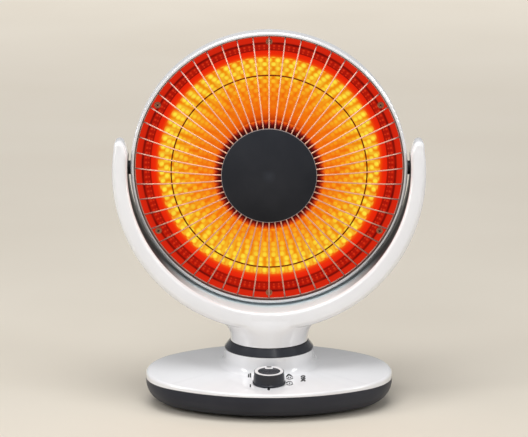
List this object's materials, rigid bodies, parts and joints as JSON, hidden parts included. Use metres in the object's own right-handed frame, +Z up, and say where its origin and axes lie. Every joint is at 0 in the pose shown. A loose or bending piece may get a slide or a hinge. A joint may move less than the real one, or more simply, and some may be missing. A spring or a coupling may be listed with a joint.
{
  "type": "dish radiant heater",
  "caption": "Round dish heater with a wire guard, tilting in a white U-shaped yoke that swivels on an oval base with a rotary control knob.",
  "frame": {"origin": "on the floor, under the middle of the base's oval", "axes": "+Z up, +X to the right of someone facing the heater, -Y is the front that the dish and knob face"},
  "size_m": [0.3412, 0.176, 0.4086],
  "materials": {
    "white_shell": "gloss moulded white",
    "rear_white": "gloss moulded, heat resistant",
    "dark_plastic": "satin dark grey",
    "knob_white": "gloss white",
    "rubber": "matte black",
    "steel": "zinc plated",
    "guard_wire": "bright plated wire",
    "trim": "bright satin",
    "reflector_metal": "polished, lit red by the element",
    "inner_plastic": "plain moulded",
    "motor_can": "plated sheet",
    "ceramic": "unglazed",
    "quartz": "clear quartz",
    "carbon": "woven carbon"
  },
  "bodies": {
    "base": {"base_pan": "dark_plastic", "base_cover": "white_shell", "collar_ring": "dark_plastic", "rubber_feet": "rubber", "base_screws": "steel", "rotary_switch": "inner_plastic", "thrust_washer": "inner_plastic", "swivel_motor": "motor_can", "tip_switch": "inner_plastic", "cord_gland": "rubber", "terminal_block": "inner_plastic"},
    "yoke": {"yoke_front_shell": "white_shell", "yoke_rear_shell": "white_shell", "yoke_screws": "steel", "swivel_post": "inner_plastic", "post_screws": "steel", "swivel_gear": "inner_plastic", "post_clip": "steel"},
    "head": {"trim_ring": "trim", "rear_shell": "rear_white", "reflector": "reflector_metal", "reflector_screws": "steel", "reflector_washers": "steel", "wire_guard": "guard_wire", "hub_cap": "dark_plastic", "heat_shield": "reflector_metal", "hub_screw": "steel", "carbon_tube": "quartz", "carbon_filament": "carbon", "tube_caps": "ceramic", "element_holder": "ceramic", "holder_screws": "steel", "thermal_cutout": "motor_can", "pivot_stud_left": "steel", "pivot_stud_right": "steel", "pivot_washers": "steel", "pivot_nuts": "steel"},
    "knob": {"control_knob": "dark_plastic", "knob_ring": "knob_white", "switch_shaft": "steel"},
    "plunger": {"tip_plunger": "inner_plastic"},
    "pinion": {"drive_pinion": "inner_plastic", "motor_shaft": "steel"}
  },
  "joints": [
    {"name": "yoke_swivel", "type": "hinge", "parent": "base", "child": "yoke", "pos_m": [0, 0.023, 0.06], "axis": [0, 0, 1], "range_deg": [-175, 175]},
    {"name": "head_tilt", "type": "hinge", "parent": "yoke", "child": "head", "pos_m": [0, 0.023, 0.258], "axis": [-1, 0, 0], "range_deg": [-15, 30]},
    {"name": "knob_turn", "type": "hinge", "parent": "base", "child": "knob", "pos_m": [0, -0.049, 0.0346], "axis": [0, -0.061, 0.9981], "continuous": true},
    {"name": "plunger_travel", "type": "slide", "parent": "base", "child": "plunger", "axis": [0, 0, -1], "range_m": [0, 0.004], "stiffness_N_per_m": 100, "springref_m": 0.006},
    {"name": "pinion_spin", "type": "hinge", "parent": "base", "child": "pinion", "pos_m": [-0.03265, 0.023, 0.036], "axis": [0, 0, 1], "range_deg": [-530, 530]}
  ],
  "couplings": [
    {"joint": "pinion_spin", "follows": "yoke_swivel", "ratio": -3}
  ]
}
